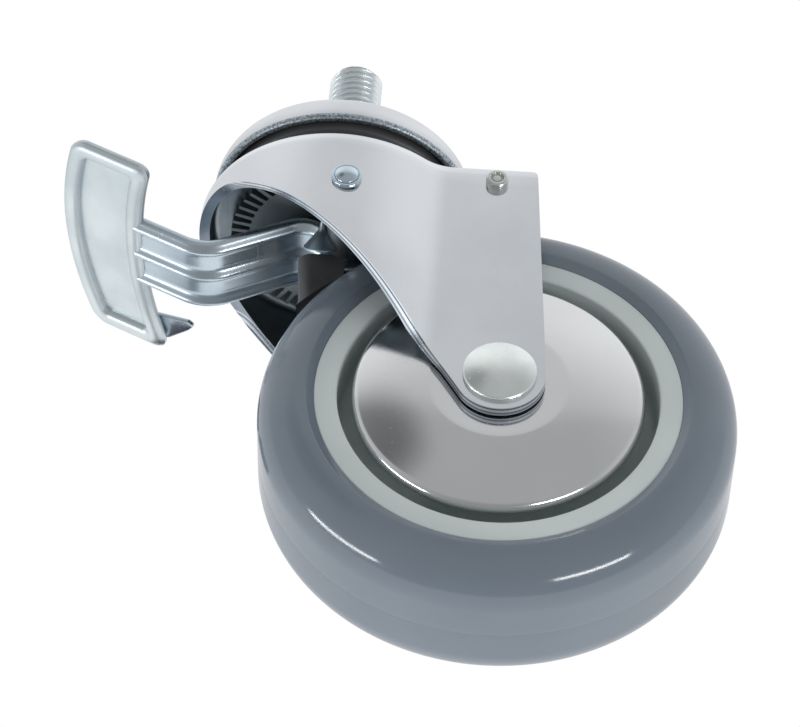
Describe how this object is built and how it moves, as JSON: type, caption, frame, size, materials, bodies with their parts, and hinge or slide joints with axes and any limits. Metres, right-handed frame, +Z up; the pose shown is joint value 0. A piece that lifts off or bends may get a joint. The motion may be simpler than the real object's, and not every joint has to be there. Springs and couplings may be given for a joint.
{
  "type": "braked swivel castor",
  "caption": "Swivel castor with a threaded stem, a sheet-steel fork, a soft grey wheel on ball bearings and a foot pedal that brakes the wheel and locks the swivel.",
  "frame": {"origin": "centre of the stem at its seat on top of the swivel cap", "axes": "+Z up along the stem and the swivel axis, axle along Y, wheel trails towards +X and the brake pedal reaches towards -X"},
  "size_m": [0.1488, 0.0658, 0.1555],
  "materials": {
    "bright_chrome": "bright plated sheet",
    "zinc_steel": "bright zinc plate",
    "pale_zinc": "pale bluish zinc plate",
    "race_steel": "hardened and ground",
    "grey_tread": "smooth cast polyurethane",
    "grey_core": "moulded, faint sheen",
    "black_rubber": "matt black"
  },
  "bodies": {
    "mount_head": {"threaded_stem": "zinc_steel", "swivel_cap": "bright_chrome", "upper_race": "race_steel", "head_balls": "race_steel", "neck_balls": "race_steel", "lock_ring": "race_steel"},
    "fork_frame": {"fork": "bright_chrome", "crown_race": "race_steel", "dust_seal": "black_rubber", "axle_bolt": "zinc_steel", "axle_nut": "zinc_steel", "spacer_washers": "zinc_steel", "bearing_spacer": "zinc_steel", "inner_ring_near": "race_steel", "inner_ring_far": "race_steel", "thread_guard_near": "bright_chrome", "thread_guard_far": "bright_chrome", "pivot_pin": "zinc_steel", "spring_pin": "zinc_steel", "detent_spring": "race_steel"},
    "pedal": {"brake_pedal": "pale_zinc", "brake_block": "black_rubber", "lock_teeth": "race_steel", "pivot_sleeves": "zinc_steel"},
    "wheel": {"wheel_core": "grey_core", "tyre": "grey_tread", "outer_ring_near": "race_steel", "outer_ring_far": "race_steel", "bearing_balls_near": "race_steel", "bearing_balls_far": "race_steel"}
  },
  "joints": [
    {"name": "swivel", "type": "hinge", "parent": "mount_head", "child": "fork_frame", "pos_m": [0, 0, 0], "axis": [0, 0, 1], "continuous": true},
    {"name": "wheel_roll", "type": "hinge", "parent": "fork_frame", "child": "wheel", "pos_m": [0.0374, 0, -0.07551], "axis": [0, 1, 0], "continuous": true},
    {"name": "pedal_press", "type": "hinge", "parent": "fork_frame", "child": "pedal", "pos_m": [0.0024, 0, -0.03078], "axis": [0, -1, 0], "range_deg": [0, 6]}
  ]
}
